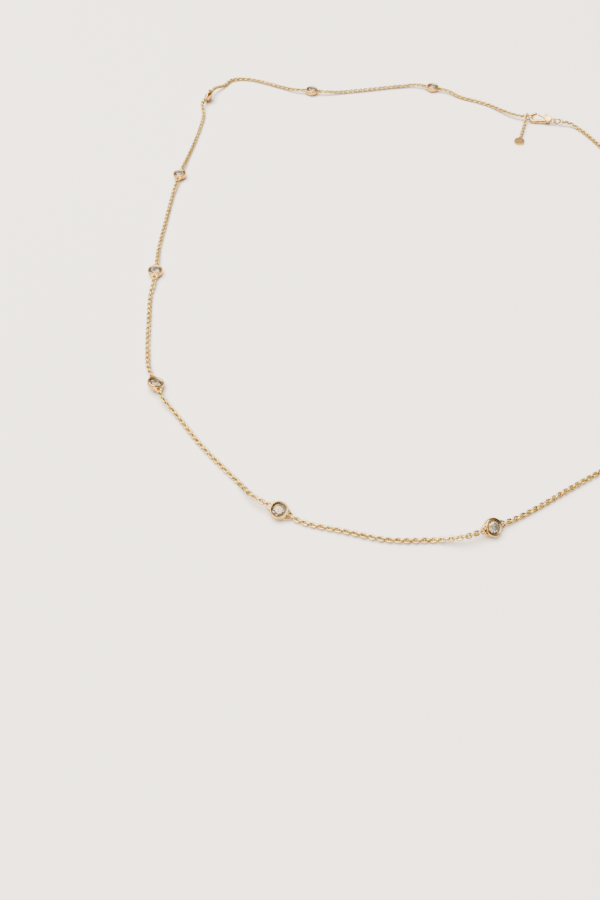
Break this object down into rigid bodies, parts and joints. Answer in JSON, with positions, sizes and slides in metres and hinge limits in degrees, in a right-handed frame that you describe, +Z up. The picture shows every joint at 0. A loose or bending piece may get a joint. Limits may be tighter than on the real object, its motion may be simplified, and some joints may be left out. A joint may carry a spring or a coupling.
{
  "type": "diamond necklace",
  "caption": "Fine gold station necklace lying closed: cable chain with round diamonds in open-backed bezel cups, a lobster clasp with a sprung lever and a short tail with a plain tag.",
  "frame": {"origin": "on the surface the necklace lies on, under the middle of its outline", "axes": "+Z up from the surface, +Y from the front of the lying loop towards its clasp end, +X to the side the clasp is on"},
  "size_m": [0.1244, 0.16, 0.0033],
  "materials": {
    "cup_gold": "polished yellow gold",
    "chain_gold": "polished yellow gold links",
    "clasp_gold": "polished yellow gold",
    "diamond": "clear, cut and polished"
  },
  "bodies": {
    "necklace": {"bezel_01": "cup_gold", "bezel_02": "cup_gold", "bezel_03": "cup_gold", "bezel_04": "cup_gold", "bezel_05": "cup_gold", "bezel_06": "cup_gold", "bezel_07": "cup_gold", "bezel_08": "cup_gold", "bezel_09": "cup_gold", "bezel_10": "cup_gold", "bezel_11": "cup_gold", "diamond_01": "diamond", "diamond_02": "diamond", "diamond_03": "diamond", "diamond_04": "diamond", "diamond_05": "diamond", "diamond_06": "diamond", "diamond_07": "diamond", "diamond_08": "diamond", "diamond_09": "diamond", "diamond_10": "diamond", "diamond_11": "diamond", "chain_01": "chain_gold", "chain_02": "chain_gold", "chain_03": "chain_gold", "chain_04": "chain_gold", "chain_05": "chain_gold", "chain_06": "chain_gold", "chain_07": "chain_gold", "chain_08": "chain_gold", "chain_09": "chain_gold", "chain_10": "chain_gold", "chain_11": "chain_gold", "chain_12": "chain_gold", "clasp_body": "clasp_gold", "end_ring": "clasp_gold", "jump_ring": "clasp_gold", "tail_chain": "chain_gold", "tail_tag": "cup_gold"},
    "lever": {"clasp_lever": "clasp_gold"}
  },
  "joints": [
    {"name": "lever_hinge", "type": "hinge", "parent": "necklace", "child": "lever", "pos_m": [0.04259, 0.05504, 0.00117], "axis": [-0.1378, -0.4806, 0.866], "range_deg": [0, 22], "stiffness_Nm_per_rad": 0.002}
  ]
}
